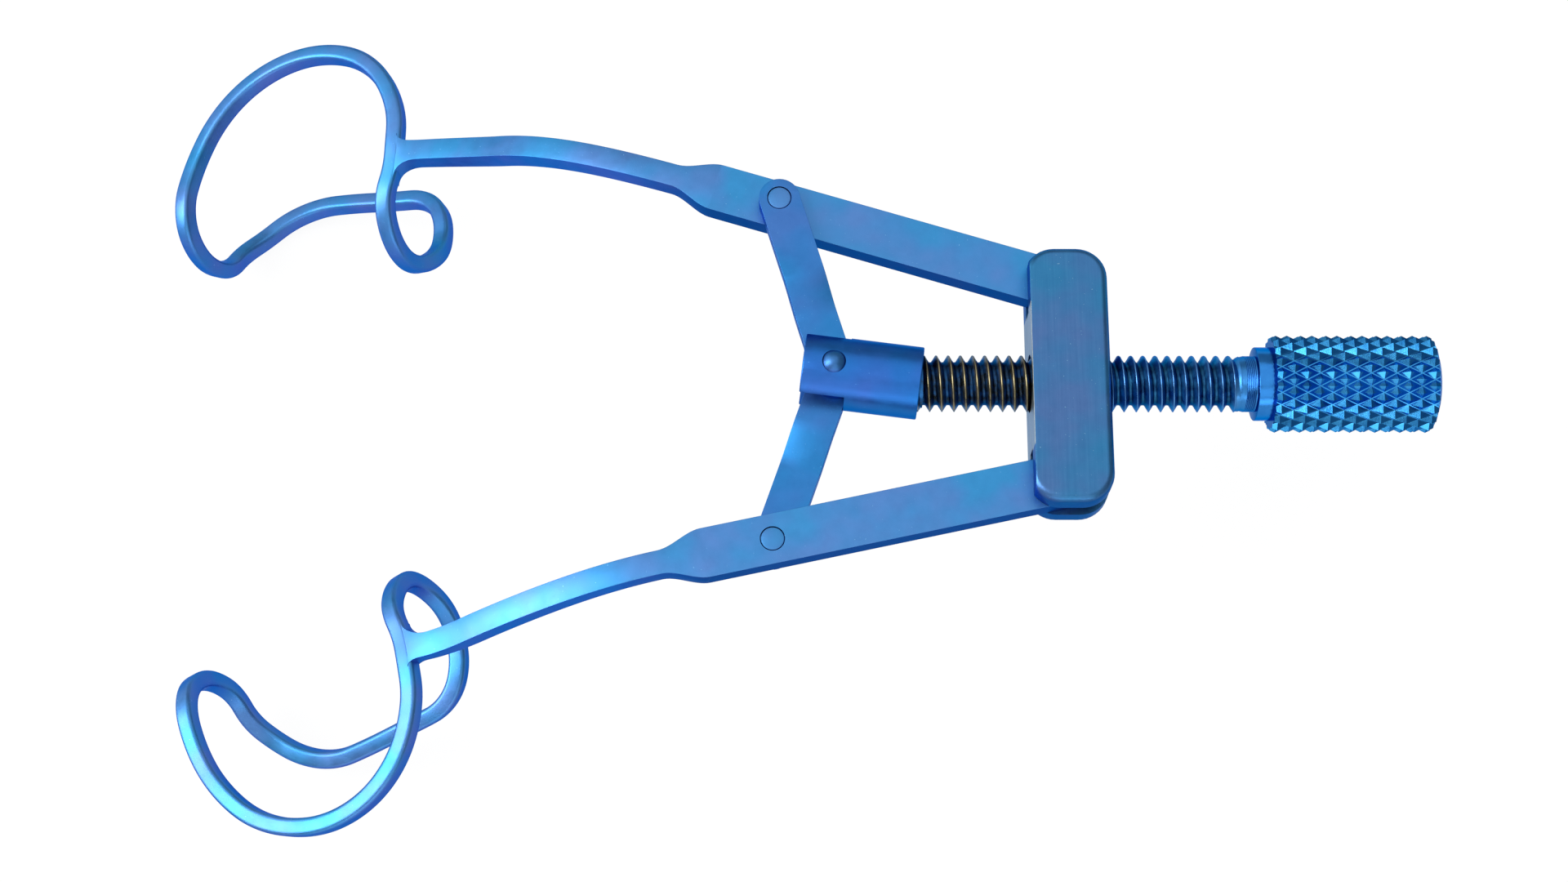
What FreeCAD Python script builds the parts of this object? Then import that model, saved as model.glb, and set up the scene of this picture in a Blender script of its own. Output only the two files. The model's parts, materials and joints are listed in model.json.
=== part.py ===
import FreeCAD, Part
import math
import os

# Wire eye speculum with a screw-driven linkage, lengths in millimetres and angles in degrees
# +X runs along the screw to the knob, +Y to the upper blade, +Z up out of the plane of the arms
# The origin is the middle of the yoke's flat underside

# Yoke: the rounded cross block that carries both arms and the screw
yoke_length = 16.4
yoke_width = 4.8
yoke_height = 4.6
yoke_corner_radius = 1.9
yoke_end_crown = 0.25
yoke_rim_radius = 0.5
yoke_front_trim = 0.35
yoke_web_length = 8.8

# Arms: flat bars that neck down to slender shanks and droop to the blades
arm_thickness = 1.4
arm_width = 3.1
arm_pivot_spacing = 12.36
rivet_reach = 18.66
shoulder_start = 22.8
shoulder_end = 25.6
shank_width = 1.48
shank_bow = 0.4
bow_peak_reach = 38.5
bow_return_radius = 28.0
upper_reach = 45.45
lower_reach = 42.1
droop_start = 25.0
droop_radius = 20.5
droop_slope = 38.0
tip_radius = 21.5
foot_length = 1.5
foot_width = 2.5
tip_thickness = 1.15

# Blades: closed loops of bent wire brazed to the arms
wire_diameter = 1.25
lower_blade_turn = 15.4
lower_blade_lift = 4.3

# Links: cranked flat bars from the arms to the sleeve
link_centres = 11.45
link_width = 2.55
link_thickness = 1.1
link_crank_start = 5.45
link_crank_length = 2.1
link_slot_play = 0.42
link_side_play = 0.15
link_end_stock = 0.45

# Sleeve: the slotted barrel that swivels on the tip of the screw
sleeve_diameter = 4.5
sleeve_length = 7.3
sleeve_rear_x = -9.14
sleeve_pin_setback = 5.4
sleeve_rock = 7.4
sleeve_slot_depth = 3.9
sleeve_edge = 0.12
sleeve_mouth_depth = 0.6
washer_recess_depth = 1.1

# Screw, washer and knob
screw_diameter = 3.5
screw_end_x = 11.41
tip_diameter = 1.8
tip_rivet_length = 0.3
tip_rivet_diameter = 2.3
washer_diameter = 2.7
washer_thickness = 0.45
spigot_diameter = 2.6
spigot_length = 4.0
knob_hub_diameter = 4.55
knob_hub_length = 1.0
knob_diameter = 6.0
knob_length = 10.4
knob_nose_length = 0.5
knob_nose_diameter = 4.6
knob_edge = 0.25

# Pins and rivets
pivot_pin_diameter = 1.6
pivot_pin_bite = 0.9
rivet_diameter = 1.15
rivet_head_diameter = 1.46
rivet_head_depth = 0.25
sleeve_pin_diameter = 1.2
sleeve_pin_head_diameter = 1.45
sleeve_pin_head_height = 0.3

# Clearances
running_gap = 0.04
face_gap = 0.03
rivet_ring_gap = 0.07
seat_gap = 0.05

mid_height = yoke_height / 2.0
slot_height = arm_thickness + 2.0 * seat_gap
pivot_y = arm_pivot_spacing / 2.0

# Blade wire, as points in the arm's own frame measured from the braze at the arm's tip:
# reach beyond the tip, offset away from the screw's axis, and height
loop_points = [
    (0.0, 0.0, 0.0),
    (1.2, 3.35, -0.15),
    (3.8, 6.0, -1.1),
    (8.25, 6.8, -3.15),
    (12.3, 4.55, -5.0),
    (14.6, -0.55, -6.3),
    (13.55, -7.15, -7.65),
    (12.0, -7.55, -11.4),
    (11.1, -4.4, -14.0),
    (8.75, -1.1, -14.05),
    (3.7, 0.6, -11.95),
    (-2.0, 0.2, -8.85),
    (-3.3, -2.9, -7.6),
    (-2.2, -5.5, -4.0),
    (-0.55, -3.6, -0.9),
]


def vec(x, y, z=0.0):
    return FreeCAD.Vector(x, y, z)


def cylinder_z(radius, low, high, x=0.0, y=0.0):
    return Part.makeCylinder(radius, high - low, vec(x, y, low))


def cylinder_x(radius, left, right):
    return Part.makeCylinder(radius, right - left, vec(left, 0.0), vec(1.0, 0.0))


def tangent_arc(start, heading, end):
    """The arc that leaves start along heading and arrives at end."""
    chord = end.sub(start)
    along = vec(chord.x, chord.y, chord.z).normalize()
    side = heading.sub(vec(along.x, along.y, along.z).multiply(heading.dot(along)))
    if side.Length < 1e-6:
        return Part.LineSegment(start, end).toShape()
    half_turn = math.atan2(side.Length, heading.dot(along)) / 2.0
    middle = start.add(end).multiply(0.5).add(side.normalize().multiply(chord.Length / 2.0 * math.tan(half_turn)))
    return Part.Arc(start, middle, end).toShape()


def line(start, end):
    return Part.LineSegment(start, end).toShape()


def extrude_outline(edges, direction):
    return Part.Face(Part.Wire(Part.__sortEdges__(edges))).extrude(direction)


def linkage_angle(side):
    """Angle of one arm from the screw's axis, where its link just reaches the sleeve pin."""
    across = side * sleeve_pin_y - pivot_y
    span = math.hypot(sleeve_pin_x, across)
    lean = math.atan2(across, -sleeve_pin_x)
    opening = (rivet_reach ** 2 + span ** 2 - link_centres ** 2) / (2.0 * rivet_reach * span)
    return math.degrees(lean + math.acos(opening))


sleeve_pin_x = sleeve_rear_x - sleeve_pin_setback * math.cos(math.radians(sleeve_rock))
sleeve_pin_y = sleeve_pin_setback * math.sin(math.radians(sleeve_rock))
upper_angle = linkage_angle(1.0)
lower_angle = linkage_angle(-1.0)


def rivet_point(angle, side):
    turn = math.radians(angle)
    return vec(-rivet_reach * math.cos(turn), side * (pivot_y + rivet_reach * math.sin(turn)))


def droop_at(reach):
    """Height and slope of the shank's centre line at one reach from the pivot."""
    bend = math.radians(droop_slope)
    first_end = droop_start + droop_radius * math.sin(bend)
    if reach <= droop_start:
        return 0.0, 0.0
    if reach <= first_end:
        slope = math.asin((reach - droop_start) / droop_radius)
        return -droop_radius * (1.0 - math.cos(slope)), slope
    slope = math.asin(math.sin(bend) - (reach - first_end) / tip_radius)
    first_drop = droop_radius * (1.0 - math.cos(bend))
    return -first_drop - tip_radius * (math.cos(slope) - math.cos(bend)), slope


def bow_at(reach):
    """Sideways bow of the shank's centre line: eased outward, then back in along an arc."""
    if reach > bow_peak_reach:
        past = reach - bow_peak_reach
        return shank_bow - bow_return_radius + math.sqrt(bow_return_radius ** 2 - past ** 2)
    share = max(0.0, (reach - shoulder_end) / (bow_peak_reach - shoulder_end))
    return shank_bow * math.sin(math.pi / 2.0 * share) ** 2


def tip_point(reach):
    return vec(-reach, bow_at(reach), droop_at(reach)[0])


def arm_side_profile(reach):
    """The bar seen from its side: level, bent down, then eased towards the blade."""
    bend_end = droop_start + droop_radius * math.sin(math.radians(droop_slope))
    edges = []
    ends = []
    for offset_sign in (1.0, -1.0):
        points = []
        headings = []
        for station in (-arm_width, droop_start, bend_end, reach):
            height, slope = droop_at(station)
            half = arm_thickness / 2.0 if station < reach else tip_thickness / 2.0
            normal = vec(-math.sin(slope), 0.0, math.cos(slope))
            points.append(vec(-station, 0.0, height).add(normal.multiply(offset_sign * half)))
            headings.append(vec(-math.cos(slope), 0.0, -math.sin(slope)))
        edges.append(line(points[0], points[1]))
        edges.append(tangent_arc(points[1], headings[1], points[2]))
        edges.append(tangent_arc(points[2], headings[2], points[3]))
        ends.append((points[0], points[3]))
    edges.append(line(ends[0][0], ends[1][0]))
    edges.append(line(ends[0][1], ends[1][1]))
    return edges


def arm_plan_outline(reach):
    """The bar seen from above: round end, parallel bar, shoulders, bowed shank and foot."""
    half = arm_width / 2.0
    edges = [Part.Arc(vec(0.0, half), vec(half, 0.0), vec(0.0, -half)).toShape()]
    foot_start = reach - foot_length
    for side in (1.0, -1.0):
        shoulder = vec(-shoulder_start, side * half)
        neck = vec(-shoulder_end, side * shank_width / 2.0)
        stations = [shoulder_end + (foot_start - shoulder_end) * step / 5.0 for step in range(6)]
        shank = Part.BSplineCurve()
        shank.interpolate([vec(-s, bow_at(s) + side * shank_width / 2.0) for s in stations])
        foot = vec(-reach, bow_at(reach) + side * foot_width / 2.0)
        edges.append(line(vec(0.0, side * half), shoulder))
        edges.append(line(shoulder, neck))
        edges.append(shank.toShape())
        shank_end = shank.value(shank.LastParameter)
        edges.append(tangent_arc(shank_end, shank.tangent(shank.LastParameter)[0], foot))
    edges.append(line(foot, vec(-reach, bow_at(reach) + foot_width / 2.0)))
    return edges


def make_arm(reach, blade, side):
    """One arm about its pivot, with the link's rivet hole and a seat cut to the blade's wire."""
    drop = -droop_at(reach)[0] + 2.0 * arm_thickness
    plan = extrude_outline(arm_plan_outline(reach), vec(0.0, 0.0, -drop))
    plan.translate(vec(0.0, 0.0, arm_thickness))
    band = extrude_outline(arm_side_profile(reach), vec(0.0, 2.0 * arm_width))
    band.translate(vec(0.0, -arm_width))
    arm = plan.common(band)
    top = arm_thickness / 2.0
    arm = arm.cut(cylinder_z(pivot_pin_diameter / 2.0 + running_gap, -top, top))
    arm = arm.cut(cylinder_z(rivet_diameter / 2.0, -top, top, -rivet_reach))
    ring = rivet_head_diameter / 2.0 + rivet_ring_gap
    recess = -top if side > 0 else top - rivet_head_depth
    arm = arm.cut(cylinder_z(ring, recess, recess + rivet_head_depth, -rivet_reach))
    return arm.cut(blade)


def blade_headings(points):
    """Direction of the wire at each point, along the circle through it and its neighbours."""
    headings = []
    count = len(points)
    for index, point in enumerate(points):
        back = point.sub(points[index - 1])
        ahead = points[(index + 1) % count].sub(point)
        ratio = ahead.Length / back.Length
        headings.append(back.multiply(ratio).add(ahead.multiply(1.0 / ratio)).normalize())
    return headings


def blade_path(points):
    """The closed centre line: two arcs on each span, tangent to each other and at the points."""
    headings = blade_headings(points)
    edges = []
    for index, start in enumerate(points):
        end = points[(index + 1) % len(points)]
        leave = headings[index]
        arrive = headings[(index + 1) % len(points)]
        span = end.sub(start)
        mixed = span.dot(leave.add(arrive))
        spread = 2.0 * (1.0 - leave.dot(arrive))
        reach = (math.sqrt(mixed ** 2 + spread * span.Length ** 2) - mixed) / spread
        first = start.add(vec(*leave).multiply(reach))
        second = end.sub(vec(*arrive).multiply(reach))
        joint = first.add(second).multiply(0.5)
        edges.append(tangent_arc(start, leave, joint))
        edges.append(tangent_arc(joint, second.sub(first).normalize(), end))
    return edges


def make_blade(reach, turn, lift):
    """One wire loop in its arm's frame, turned about the braze as it was hand set."""
    root = tip_point(reach)
    points = []
    tilt = FreeCAD.Rotation(vec(0.0, 0.0, 1.0), -turn).multiply(FreeCAD.Rotation(vec(1.0, 0.0), lift))
    for out, side, height in loop_points:
        points.append(root.add(tilt.multVec(vec(-out, side, height))))
    sectors = [wire_sector(arc) for arc in blade_path(points)]
    return sectors[0].multiFuse(sectors[1:])


def wire_sector(arc):
    """Round wire along one arc of the loop's centre line."""
    start = arc.FirstParameter
    ring = Part.Circle(arc.valueAt(start), arc.tangentAt(start), wire_diameter / 2.0).toShape()
    turn = math.degrees(arc.LastParameter - start)
    return Part.Face(Part.Wire([ring])).revolve(arc.Curve.Center, arc.Curve.Axis, turn)


def make_yoke():
    """Rounded block with a milled slot in each end for the arms and a bore for the screw."""
    front = -yoke_width / 2.0
    low = front - yoke_front_trim
    high = yoke_width / 2.0
    end = yoke_length / 2.0
    square = end - yoke_end_crown
    edges = [line(vec(low, -square), vec(low, square)), line(vec(high, -square), vec(high, square))]
    for side in (1.0, -1.0):
        crown = Part.Arc(vec(low, side * square), vec((low + high) / 2.0, side * end), vec(high, side * square))
        edges.append(crown.toShape())
    block = extrude_outline(edges, vec(0.0, 0.0, yoke_height))
    corners = [edge for edge in block.Edges if abs(edge.tangentAt(edge.FirstParameter).z) > 0.99]
    block = block.makeFillet(yoke_corner_radius, corners)
    rims = [edge for edge in block.Edges if edge.BoundBox.ZLength < 0.01]
    block = block.makeFillet(yoke_rim_radius, rims)
    trim = Part.makeBox(yoke_width, 2.0 * yoke_length, yoke_height, vec(front - yoke_width, -yoke_length))
    block = block.cut(trim)
    slot_low = mid_height - slot_height / 2.0
    for side in (1.0, -1.0):
        start = yoke_web_length / 2.0 if side > 0 else -yoke_length
        slot = Part.makeBox(2.0 * yoke_width, yoke_length - yoke_web_length / 2.0, slot_height,
                            vec(-yoke_width, start, slot_low))
        block = block.cut(slot)
        block = block.cut(cylinder_z(pivot_pin_diameter / 2.0, 0.0, slot_low + slot_height + pivot_pin_bite,
                                     0.0, side * pivot_y))
    bore = cylinder_x(screw_diameter / 2.0 + running_gap, -yoke_width, yoke_width)
    bore.translate(vec(0.0, 0.0, mid_height))
    return block.cut(bore)


def make_pivot_pin(side):
    top = mid_height + slot_height / 2.0 + pivot_pin_bite
    return cylinder_z(pivot_pin_diameter / 2.0, 0.0, top, 0.0, side * pivot_y)


def link_side_profile():
    """The link seen from its side, cranked down from the arm's face to the middle plane."""
    outer = arm_thickness / 2.0 + face_gap
    inner = face_gap / 2.0
    crank_end = link_crank_start + link_crank_length
    crank_middle = link_crank_start + link_crank_length / 2.0
    far = link_centres + link_width + link_end_stock
    edges = []
    for level in (0.0, link_thickness):
        start = vec(-link_width, 0.0, outer + level)
        bend = vec(link_crank_start, 0.0, outer + level)
        middle = vec(crank_middle, 0.0, (outer + inner) / 2.0 + level)
        level_off = vec(crank_end, 0.0, inner + level)
        edges.append(line(start, bend))
        edges.append(tangent_arc(bend, vec(1.0, 0.0), middle))
        edges.append(tangent_arc(level_off, vec(-1.0, 0.0), middle))
        edges.append(line(level_off, vec(far, 0.0, inner + level)))
    edges.append(line(vec(-link_width, 0.0, outer), vec(-link_width, 0.0, outer + link_thickness)))
    edges.append(line(vec(far, 0.0, inner), vec(far, 0.0, inner + link_thickness)))
    return edges


def slot_outline(left, right, radius):
    """A long hole or a round-ended bar between two centres on the X axis."""
    return [
        Part.Arc(vec(left, radius), vec(left - radius, 0.0), vec(left, -radius)).toShape(),
        line(vec(left, -radius), vec(right, -radius)),
        Part.Arc(vec(right, -radius), vec(right + radius, 0.0), vec(right, radius)).toShape(),
        line(vec(right, radius), vec(left, radius)),
    ]


def make_link():
    """One link from its rivet at the origin, with a long hole for the sleeve pin."""
    tall = arm_thickness + link_thickness
    plan = extrude_outline(slot_outline(0.0, link_centres + link_end_stock, link_width / 2.0), vec(0.0, 0.0, tall))
    side = extrude_outline(link_side_profile(), vec(0.0, 2.0 * link_width))
    side.translate(vec(0.0, -link_width))
    link = plan.common(side)
    hole_radius = sleeve_pin_diameter / 2.0 + link_side_play + running_gap
    hole_half = sleeve_pin_diameter / 2.0 + link_slot_play + running_gap - hole_radius
    hole = extrude_outline(slot_outline(link_centres - hole_half, link_centres + hole_half, hole_radius),
                           vec(0.0, 0.0, tall))
    link = link.cut(hole)
    top = arm_thickness / 2.0 + face_gap + link_thickness
    link = link.cut(cylinder_z(rivet_diameter / 2.0 + running_gap, 0.0, tall))
    return link.cut(cylinder_z(rivet_head_diameter / 2.0 + rivet_ring_gap, top - rivet_head_depth - face_gap, top))


def make_rivet():
    """A flush rivet through an arm and its link, with a head in each outer face."""
    low = -arm_thickness / 2.0
    high = arm_thickness / 2.0 + face_gap + link_thickness
    head = rivet_head_diameter / 2.0
    rivet = cylinder_z(rivet_diameter / 2.0, low, high)
    rivet = rivet.fuse(cylinder_z(head, low, low + rivet_head_depth))
    rivet = rivet.fuse(cylinder_z(head, high - rivet_head_depth, high))
    return rivet.removeSplitter()


def rock_room(reach):
    """How far the rocked barrel swings at this distance, with a running gap."""
    return reach * math.sin(math.radians(sleeve_rock)) + running_gap


def pin_head_seat():
    """Height of the flats on the barrel that carry the sleeve pin's heads."""
    return math.sqrt((sleeve_diameter / 2.0) ** 2 - (sleeve_pin_head_diameter / 2.0) ** 2)


def make_sleeve():
    """The barrel in its own frame: rear face at the origin, slotted front end at -X."""
    radius = sleeve_diameter / 2.0
    barrel = cylinder_x(radius, -sleeve_length, 0.0)
    barrel = barrel.makeChamfer(sleeve_edge, [edge for edge in barrel.Edges if edge.BoundBox.XLength < 0.01])
    slot_half = link_thickness + face_gap + seat_gap
    slot_back = -(sleeve_length - sleeve_slot_depth)
    slot = Part.makeBox(sleeve_slot_depth + 1.0, 2.0 * sleeve_diameter, 2.0 * slot_half,
                        vec(-sleeve_length - 1.0, -sleeve_diameter, -slot_half))
    barrel = barrel.cut(slot)
    recess_floor = slot_back + washer_recess_depth
    barrel = barrel.cut(cylinder_x(tip_diameter / 2.0 + rock_room(-recess_floor), slot_back, 0.0))
    barrel = barrel.cut(cylinder_x(washer_diameter / 2.0 + rock_room(-slot_back), slot_back, recess_floor))
    barrel = barrel.cut(cylinder_x(screw_diameter / 2.0 + rock_room(sleeve_mouth_depth), -sleeve_mouth_depth, 0.0))
    seat = pin_head_seat()
    for low, high in ((-radius, -seat), (seat, radius)):
        barrel = barrel.cut(cylinder_z(sleeve_pin_head_diameter / 2.0, low, high, -sleeve_pin_setback))
    return barrel.cut(cylinder_z(sleeve_pin_diameter / 2.0, -seat, seat, -sleeve_pin_setback))


def make_sleeve_pin():
    """A pin across the barrel with a low domed head at each end."""
    radius = sleeve_diameter / 2.0
    head = sleeve_pin_head_diameter / 2.0
    seat = pin_head_seat()
    pin = cylinder_z(sleeve_pin_diameter / 2.0, -seat, seat)
    rise = radius - seat + sleeve_pin_head_height
    dome_radius = (head ** 2 + rise ** 2) / (2.0 * rise)
    dome = Part.makeSphere(dome_radius, vec(0.0, 0.0, seat + rise - dome_radius))
    dome = dome.common(cylinder_z(head, seat, seat + 2.0 * rise))
    for cap in (dome, dome.mirror(vec(0.0, 0.0), vec(0.0, 0.0, 1.0))):
        pin = pin.fuse(cap)
    return pin.translated(vec(-sleeve_pin_setback, 0.0)).removeSplitter()


def make_screw():
    """Shaft at the thread's outer size, turned tip for the sleeve and spigot for the knob."""
    recess_floor = sleeve_rear_x - (sleeve_length - sleeve_slot_depth - washer_recess_depth)
    shoulder = sleeve_rear_x - sleeve_mouth_depth + rock_room(screw_diameter / 2.0)
    washer_right = recess_floor - rock_room(washer_diameter / 2.0)
    tip_left = washer_right - washer_thickness
    shaft = cylinder_x(screw_diameter / 2.0, shoulder, screw_end_x)
    shaft = shaft.fuse(cylinder_x(tip_diameter / 2.0, tip_left, shoulder))
    shaft = shaft.fuse(cylinder_x(tip_rivet_diameter / 2.0, tip_left - tip_rivet_length, tip_left))
    shaft = shaft.fuse(cylinder_x(spigot_diameter / 2.0, screw_end_x, screw_end_x + spigot_length))
    washer = cylinder_x(washer_diameter / 2.0, tip_left, washer_right)
    washer = washer.cut(cylinder_x(tip_diameter / 2.0, tip_left, washer_right))
    return shaft.removeSplitter(), washer


def make_knob():
    """Hub and head turned in one piece, bored for the screw's spigot."""
    head_left = screw_end_x + knob_hub_length
    nose_left = head_left + knob_length - knob_nose_length
    knob = cylinder_x(knob_diameter / 2.0, head_left, nose_left)
    knob = knob.makeChamfer(knob_edge, [edge for edge in knob.Edges if edge.BoundBox.XLength < 0.01])
    nose = Part.makeCone(knob_diameter / 2.0 - knob_edge, knob_nose_diameter / 2.0, knob_nose_length,
                         vec(nose_left, 0.0), vec(1.0, 0.0))
    knob = knob.fuse(nose).fuse(cylinder_x(knob_hub_diameter / 2.0, screw_end_x, head_left))
    return knob.cut(cylinder_x(spigot_diameter / 2.0, screw_end_x, screw_end_x + spigot_length))


def place_arm_piece(shape, side, angle):
    """From the arm's own frame about its pivot to the rest pose, mirrored for the lower arm."""
    placed = shape.copy() if side > 0 else shape.mirror(vec(0.0, 0.0), vec(0.0, 1.0))
    placed.rotate(vec(0.0, 0.0), vec(0.0, 0.0, 1.0), -side * angle)
    placed.translate(vec(0.0, side * pivot_y, mid_height))
    return placed


def place_link_piece(shape, side, angle, turned):
    """To the arm's rivet: on top of the upper arm, turned over and under the lower one."""
    placed = shape.copy() if side > 0 else shape.mirror(vec(0.0, 0.0), vec(0.0, 0.0, 1.0))
    rivet = rivet_point(angle, side)
    if turned:
        heading = math.degrees(math.atan2(sleeve_pin_y - rivet.y, sleeve_pin_x - rivet.x))
        placed.rotate(vec(0.0, 0.0), vec(0.0, 0.0, 1.0), heading)
    placed.translate(vec(rivet.x, rivet.y, mid_height))
    return placed


def place_sleeve_piece(shape):
    placed = shape.copy()
    placed.rotate(vec(0.0, 0.0), vec(0.0, 0.0, 1.0), -sleeve_rock)
    placed.translate(vec(sleeve_rear_x, 0.0, mid_height))
    return placed


def build():
    pieces = {"yoke": make_yoke()}
    link = make_link()
    rivet = make_rivet()
    for name, side, angle, reach, turn, lift in (
        ("upper", 1.0, upper_angle, upper_reach, 0.0, 0.0),
        ("lower", -1.0, lower_angle, lower_reach, lower_blade_turn, lower_blade_lift),
    ):
        blade = make_blade(reach, turn, lift)
        arm = make_arm(reach, blade, side)
        pieces[name + "_arm_pivot_pin"] = make_pivot_pin(side)
        pieces[name + "_arm"] = place_arm_piece(arm, side, angle)
        pieces[name + "_blade"] = place_arm_piece(blade, side, angle)
        pieces[name + "_link"] = place_link_piece(link, side, angle, True)
        pieces[name + "_link_rivet"] = place_link_piece(rivet, side, angle, False)
    pieces["sleeve"] = place_sleeve_piece(make_sleeve())
    pieces["sleeve_pin"] = place_sleeve_piece(make_sleeve_pin())
    screw, washer = make_screw()
    for name, shape in (("screw", screw), ("tip_washer", washer), ("knob", make_knob())):
        pieces[name] = shape.translated(vec(0.0, 0.0, mid_height))
    return pieces


os.makedirs("parts", exist_ok=True)
for node, shape in build().items():
    shape.exportStep("parts/" + node + ".step")
    box = shape.BoundBox
    print(node, len(shape.Solids), shape.isValid(), round(shape.Volume, 2),
          [round(v, 2) for v in (box.XMin, box.XMax, box.YMin, box.YMax, box.ZMin, box.ZMax)])
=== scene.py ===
import json
import math
import bmesh
import bpy
from mathutils import Matrix, Quaternion, Vector


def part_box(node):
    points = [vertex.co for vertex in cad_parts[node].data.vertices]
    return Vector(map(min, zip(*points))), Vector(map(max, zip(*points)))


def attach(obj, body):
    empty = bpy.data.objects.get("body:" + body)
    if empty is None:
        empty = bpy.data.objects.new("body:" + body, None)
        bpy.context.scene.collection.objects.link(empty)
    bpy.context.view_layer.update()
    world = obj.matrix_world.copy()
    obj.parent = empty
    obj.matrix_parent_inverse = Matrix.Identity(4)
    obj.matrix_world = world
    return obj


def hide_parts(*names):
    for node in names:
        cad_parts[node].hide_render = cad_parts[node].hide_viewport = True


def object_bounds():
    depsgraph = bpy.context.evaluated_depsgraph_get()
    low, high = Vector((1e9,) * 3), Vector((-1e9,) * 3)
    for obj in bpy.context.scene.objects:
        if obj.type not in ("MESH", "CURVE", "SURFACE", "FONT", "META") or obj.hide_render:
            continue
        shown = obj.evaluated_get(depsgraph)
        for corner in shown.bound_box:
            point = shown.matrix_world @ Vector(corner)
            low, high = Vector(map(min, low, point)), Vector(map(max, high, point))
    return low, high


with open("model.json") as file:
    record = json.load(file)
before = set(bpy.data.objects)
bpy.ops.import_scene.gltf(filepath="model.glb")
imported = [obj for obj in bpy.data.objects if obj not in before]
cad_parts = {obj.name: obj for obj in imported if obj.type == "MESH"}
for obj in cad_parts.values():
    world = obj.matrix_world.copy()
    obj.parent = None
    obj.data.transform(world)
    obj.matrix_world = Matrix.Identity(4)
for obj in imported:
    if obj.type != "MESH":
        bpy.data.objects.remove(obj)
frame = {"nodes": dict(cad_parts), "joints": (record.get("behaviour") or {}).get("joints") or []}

bl_info = {
    "name": "Wire Eye Speculum",
    "version": (1, 0, 0),
    "blender": (4, 5, 0),
    "location": "3D View > Sidebar > Speculum",
    "description": "Screw-driven wire eye speculum in blue anodised titanium",
    "category": "Object",
}

# Shapes are worked in millimetres and scaled to metres when a piece is finished
MM = 0.001
CAD_BOUNDS = [list(corner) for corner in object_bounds()]
FLOOR_Z = CAD_BOUNDS[0][2]
FLOOR_GLOW = 0.93  # how much of the floor's white needs no lamp

# The arm's line, as the solids have it
SHOULDER_START = 22.8
SHOULDER_END = 25.6
SHANK_BOW = 0.4
BOW_PEAK = 38.5
BOW_RETURN_RADIUS = 28.0
DROOP_START = 25.0
DROOP_RADIUS = 20.5
DROOP_SLOPE = math.radians(38.0)
TIP_RADIUS = 21.5
ARM_TIPS = {"upper": 45.45, "lower": 42.1}
SIDES = {"upper": 1.0, "lower": -1.0}

# The blade's centre line from the braze: reach beyond it, offset outward, height
LOOP_POINTS = [
    (0.0, 0.0, 0.0), (1.2, 3.35, -0.15), (3.8, 6.0, -1.1), (8.25, 6.8, -3.15), (12.3, 4.55, -5.0),
    (14.6, -0.55, -6.3), (13.55, -7.15, -7.65), (12.0, -7.55, -11.4), (11.1, -4.4, -14.0),
    (8.75, -1.1, -14.05), (3.7, 0.6, -11.95), (-2.0, 0.2, -8.85), (-3.3, -2.9, -7.6),
    (-2.2, -5.5, -4.0), (-0.55, -3.6, -0.9),
]
BLADE_SET = {"upper": (0.0, 0.0), "lower": (15.4, 4.3)}

# Bores and heads, as radii unless named otherwise
PIVOT_BORE = 0.84
RIVET_SHAFT = 0.575
RIVET_HEAD = 0.73
RIVET_POCKET = 0.765
RIVET_HEAD_DEPTH = 0.25
PIN_SHAFT = 0.6
PIN_HEAD = 0.725
PIN_DOME_RISE = 0.42
HUB_RADIUS = 2.275
CLEAR = 1.0  # how far a cutter stands past what it cuts

# Where the solids have the links, the sleeve and the screw
LINK_CENTRES = 11.45
LINK_STOCK = 0.45
LINK_LIFT = 0.73
LINK_CRANK = (4.95, 3.2)
SLEEVE_REAR = -9.14
SLEEVE_LENGTH = 7.3
SLEEVE_SLOT = (2.78, 2.36)
PIN_SETBACK = 5.4
THREAD_END = 10.45
NECK_END = 11.44
KNURL_START = 1.0  # from the knob's hub face
FOOT_RUN = 1.8
FOOT_SINK = 0.26


def joint_place(name):
    for joint in frame["joints"]:
        if joint["name"] == name:
            return Vector(joint["pos_m"]) / MM
    raise ValueError("no joint " + name)


def node_box(node):
    low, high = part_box(node)
    return low / MM, high / MM


def clamped(share):
    return min(1.0, max(0.0, share))


def middle_of(node):
    low, high = node_box(node)
    return (low + high) / 2.0


LINK_RIVET_REACH = (joint_place("upper_link_swing") - joint_place("upper_arm_swing")).xy.length


# ---------------- settings

def length(name, description, millimetres):
    return bpy.props.FloatProperty(name=name, description=description, default=millimetres * MM,
                                   min=0.0, unit="LENGTH", precision=5)


def colour(name, description, red, green, blue):
    return bpy.props.FloatVectorProperty(name=name, description=description, subtype="COLOR", size=3,
                                         default=(red, green, blue), min=0.0, max=1.0)


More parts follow.
